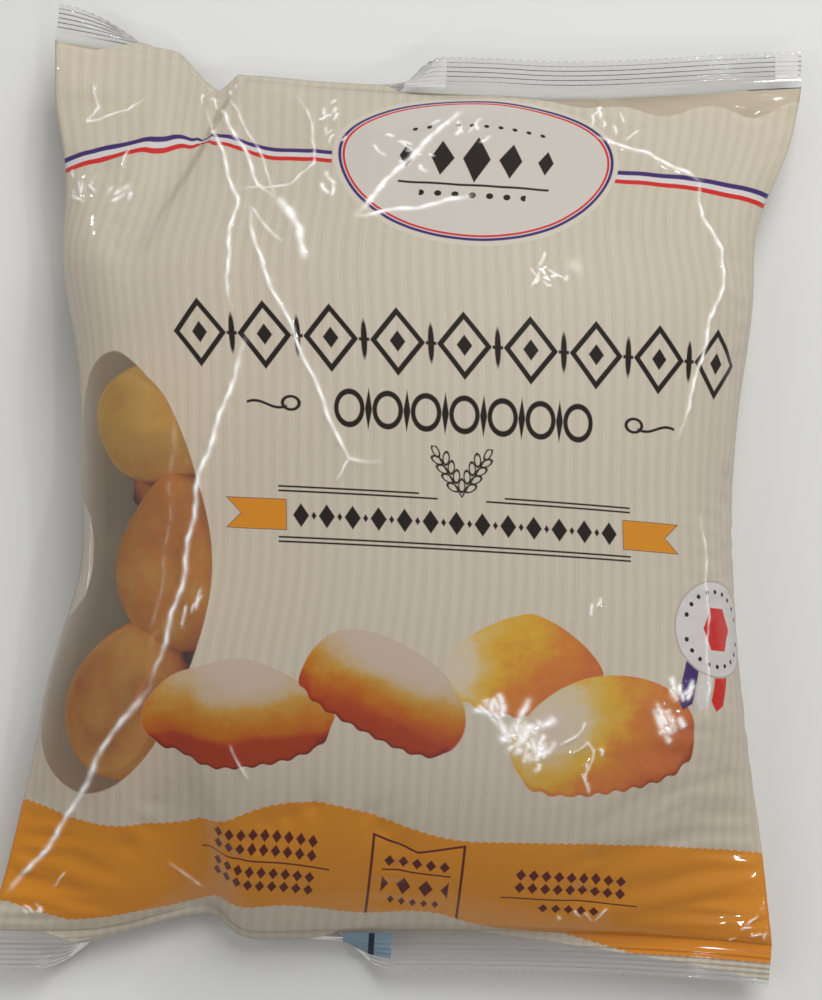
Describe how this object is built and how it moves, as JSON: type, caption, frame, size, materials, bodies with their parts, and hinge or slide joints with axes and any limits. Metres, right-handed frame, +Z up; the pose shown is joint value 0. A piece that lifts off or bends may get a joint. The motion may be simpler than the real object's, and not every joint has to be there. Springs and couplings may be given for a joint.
{
  "type": "sealed bag of small madeleine cakes",
  "caption": "Sealed pillow bag of small madeleine cakes, lying on its back: printed glossy film with a clear window at the left and crimped clear ends.",
  "frame": {"origin": "on the surface that the bag lies on, below the middle of its outline", "axes": "+Z up, out of the printed front; +Y towards the head of the bag; +X to the right as the front is read"},
  "size_m": [0.2444, 0.3094, 0.0665],
  "materials": {
    "printed_film": "cream printed film with a clear glossy surface, faint upright stripes and an amber band at the foot",
    "clear_film": "clear glossy film, hazy where it creases",
    "cake": "soft baked sponge, golden on the crown and browner on the ribbed side"
  },
  "bodies": {
    "root": {"bag": "printed_film"}
  },
  "joints": []
}
